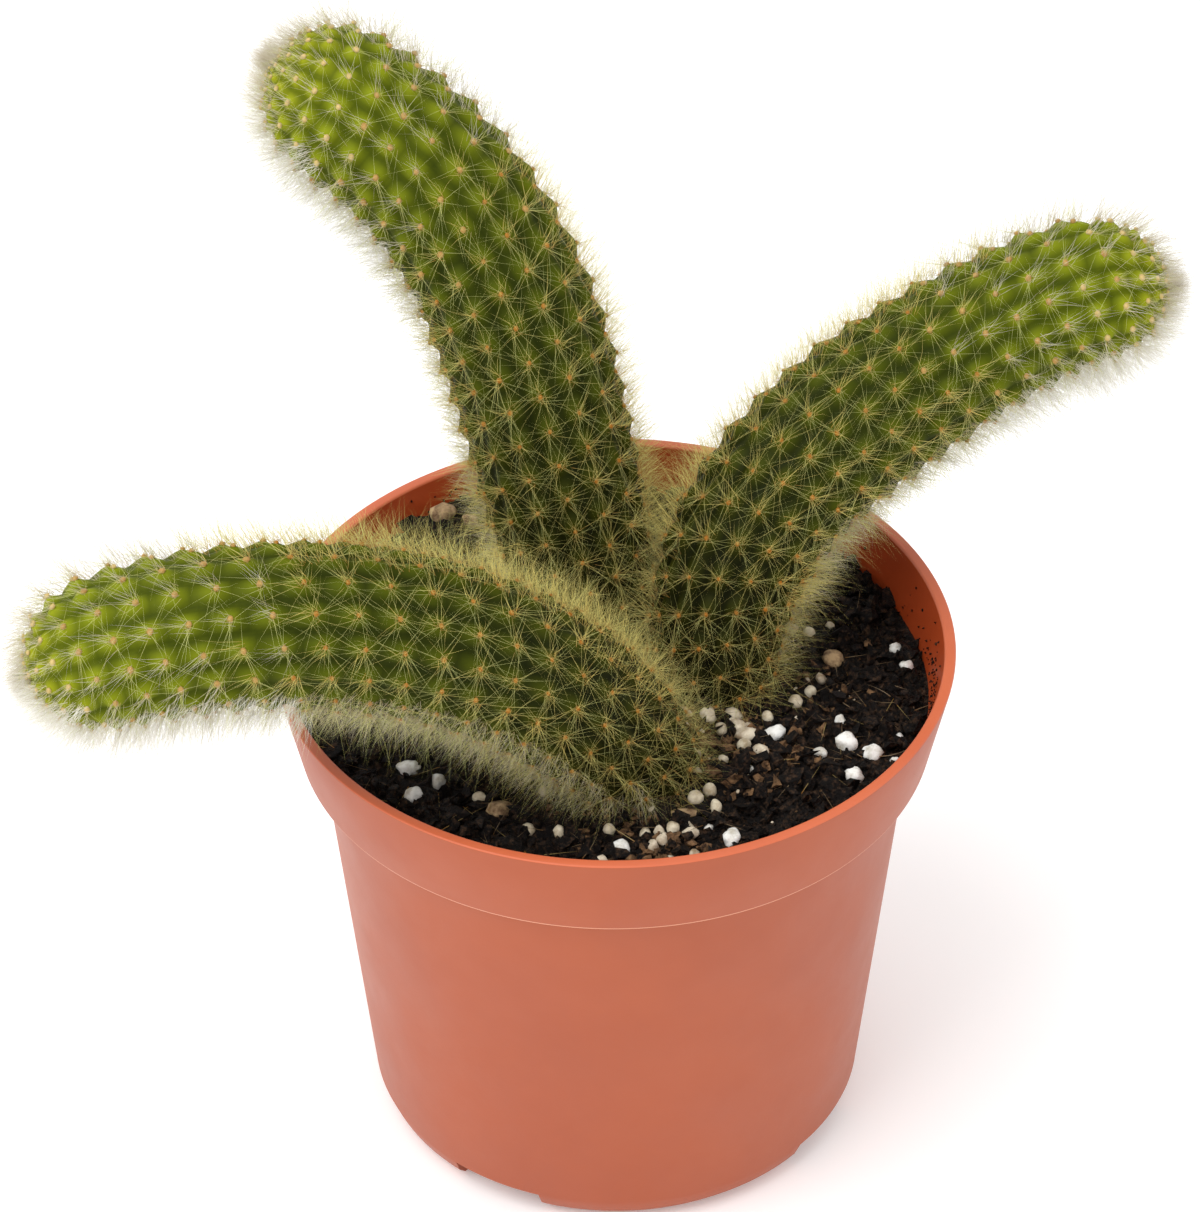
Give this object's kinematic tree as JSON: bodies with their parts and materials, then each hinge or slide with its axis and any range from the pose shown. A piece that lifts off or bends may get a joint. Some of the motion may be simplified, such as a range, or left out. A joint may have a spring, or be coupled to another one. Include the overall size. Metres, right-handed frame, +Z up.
{
  "type": "potted monkey tail cactus",
  "caption": "Round tapered nursery pot of dark peaty soil with thick arching cactus stems covered in fine spines, and loose pale grains lying on the soil.",
  "frame": {"origin": "middle of the pot's foot ring, on the floor; within 1 mm of the middle of the whole plant's width and depth", "axes": "+Z up along the pot's axis, front towards -Y, the long low stem reaching towards -X and the stem opposite it towards +X"},
  "size_m": [0.1719, 0.105, 0.1718],
  "materials": {
    "pot": "satin",
    "soil": "matte",
    "stem_left": "matte",
    "stem_back": "matte",
    "stem_right": "matte",
    "perlite": "matte",
    "grit": "matte",
    "bark": "matte"
  },
  "bodies": {
    "root": {"bark_01": "bark", "bark_02": "bark", "bark_03": "bark", "bark_04": "bark", "bark_05": "bark", "grit_01": "grit", "grit_02": "grit", "grit_03": "grit", "grit_04": "grit", "grit_05": "grit", "grit_06": "grit", "grit_07": "grit", "grit_08": "grit", "grit_09": "grit", "grit_10": "grit", "grit_11": "grit", "grit_12": "grit", "grit_13": "grit", "grit_14": "grit", "grit_15": "grit", "grit_16": "grit", "grit_17": "grit", "grit_18": "grit", "grit_19": "grit", "grit_20": "grit", "grit_21": "grit", "grit_22": "grit", "perlite_01": "perlite", "perlite_02": "perlite", "perlite_03": "perlite", "perlite_04": "perlite", "perlite_05": "perlite", "perlite_06": "perlite", "perlite_07": "perlite", "perlite_08": "perlite", "perlite_09": "perlite", "perlite_10": "perlite", "perlite_11": "perlite", "perlite_12": "perlite", "perlite_13": "perlite", "perlite_14": "perlite", "perlite_15": "perlite", "perlite_16": "perlite", "perlite_17": "perlite", "pot": "pot", "soil": "soil", "stem_back": "stem_back", "stem_left": "stem_left", "stem_right": "stem_right"}
  },
  "joints": []
}
